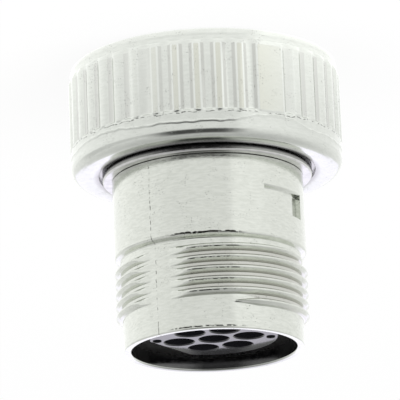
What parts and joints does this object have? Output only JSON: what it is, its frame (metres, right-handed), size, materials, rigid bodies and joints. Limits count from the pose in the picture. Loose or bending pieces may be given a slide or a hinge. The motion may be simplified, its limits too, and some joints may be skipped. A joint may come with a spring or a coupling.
{
  "type": "circular connector plug",
  "caption": "Metal circular connector plug with a ribbed free-turning coupling ring, a threaded cable end and a black insert with snap-in socket contacts.",
  "frame": {"origin": "on the axis, at the plane of the coupling ring's front face, on which the plug stands", "axes": "+Z along the plug's axis from the mating end to the cable end; -Y towards the viewer of the picture"},
  "size_m": [0.0315, 0.0314, 0.0338],
  "materials": {
    "shell_nickel": "nickel plate over die casting, satin",
    "ring_nickel": "nickel plate over die casting, satin",
    "retainer_steel": "bright spring steel",
    "washer_steel": "spring steel strip",
    "insert_plastic": "glossy black moulding",
    "contact_gold": "thin gold plate over brass",
    "spring_steel": "stainless strip"
  },
  "bodies": {
    "plug": {"plug_shell": "shell_nickel", "retaining_ring": "retainer_steel", "wave_washer": "washer_steel", "front_insert": "insert_plastic", "rear_insert": "insert_plastic", "socket_contact_1": "contact_gold", "socket_contact_2": "contact_gold", "socket_contact_3": "contact_gold", "socket_contact_4": "contact_gold", "socket_contact_5": "contact_gold", "socket_contact_6": "contact_gold", "socket_contact_7": "contact_gold", "contact_spring_1": "spring_steel", "contact_spring_2": "spring_steel", "contact_spring_3": "spring_steel", "contact_spring_4": "spring_steel", "contact_spring_5": "spring_steel", "contact_spring_6": "spring_steel", "contact_spring_7": "spring_steel"},
    "coupling": {"coupling_ring": "ring_nickel"}
  },
  "joints": [
    {"name": "coupling_turn", "type": "hinge", "parent": "plug", "child": "coupling", "pos_m": [0, 0, 0.0115], "axis": [0, 0, 1], "continuous": true}
  ]
}
